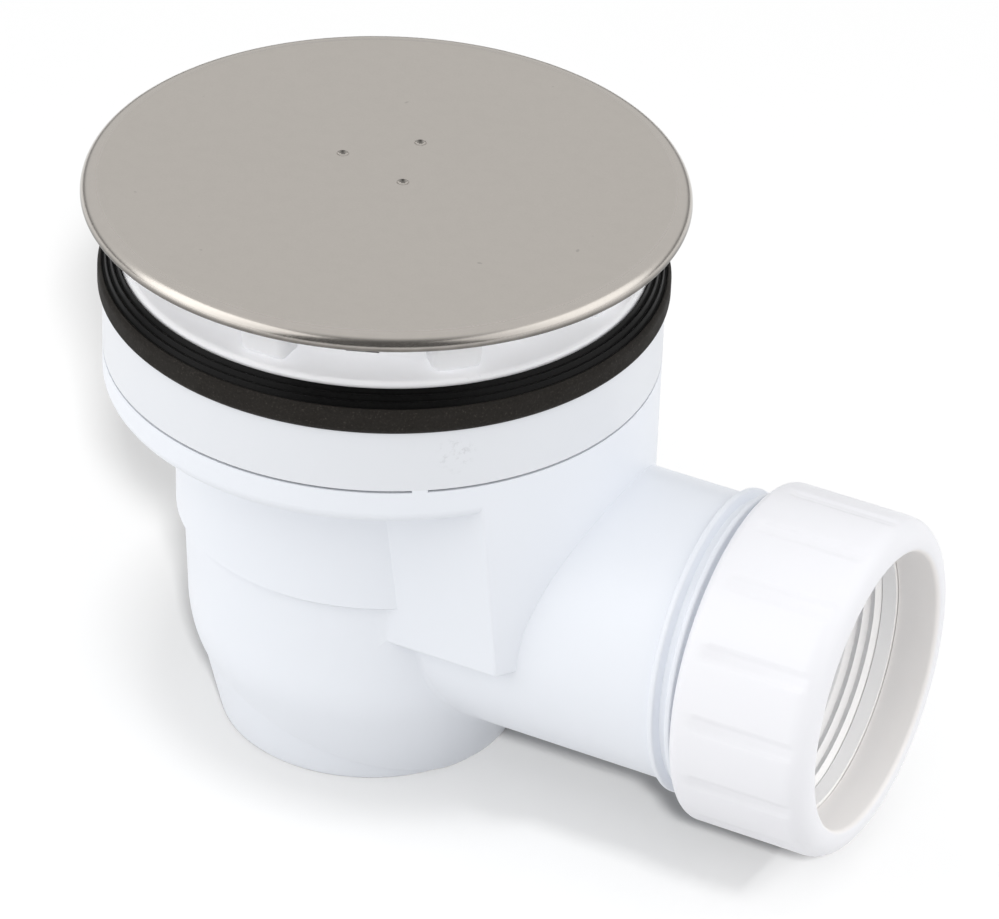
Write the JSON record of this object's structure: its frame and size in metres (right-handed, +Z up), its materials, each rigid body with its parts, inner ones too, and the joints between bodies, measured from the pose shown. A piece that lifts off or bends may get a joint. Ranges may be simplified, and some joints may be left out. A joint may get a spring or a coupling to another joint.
{
  "type": "shower tray waste trap",
  "caption": "White plastic shower-tray trap with a round steel cover on feet, black tray seal, dip tube, overflow chamber and a side outlet with a compression nut.",
  "frame": {"origin": "on the floor, where the cup's axis meets the flat round base", "axes": "+Z up along the cup's axis, +X along the outlet the way the water leaves, +Y to the left of the outlet"},
  "size_m": [0.1607, 0.112, 0.115],
  "materials": {
    "white_plastic": "moulded polypropylene, smooth with a soft sheen, slightly cool white",
    "flange_plastic": "moulded, smooth, white",
    "nut_plastic": "moulded, smooth, slightly warm white",
    "slip_plastic": "smooth, pale grey, slippery",
    "pale_rubber": "soft, matt, pale grey",
    "black_rubber": "moulded, matt, black, with fine speckle and a little pale dust",
    "cover_steel": "satin stainless sheet, rolled edge",
    "stud_steel": "plain stainless"
  },
  "bodies": {
    "trap": {"trap_body": "white_plastic", "collar": "white_plastic", "tray_seal": "black_rubber", "flange": "flange_plastic", "dip_tube": "flange_plastic", "dip_tube_ring": "black_rubber", "cover_carrier": "flange_plastic", "cover_studs": "stud_steel", "cover_plate": "cover_steel", "outlet_seal": "pale_rubber"},
    "slip_ring": {"slip_ring": "slip_plastic"},
    "outlet_nut": {"outlet_nut": "nut_plastic"}
  },
  "joints": [
    {"name": "nut_travel", "type": "slide", "parent": "trap", "child": "slip_ring", "axis": [1, 0, 0], "range_m": [0, 0.014]},
    {"name": "nut_turn", "type": "hinge", "parent": "slip_ring", "child": "outlet_nut", "pos_m": [0.0947, 0, 0.0378], "axis": [1, 0, 0], "range_deg": [0, 1440]}
  ],
  "couplings": [
    {"joint": "nut_travel", "follows": "nut_turn", "m_per_rad": 0.00055704}
  ]
}
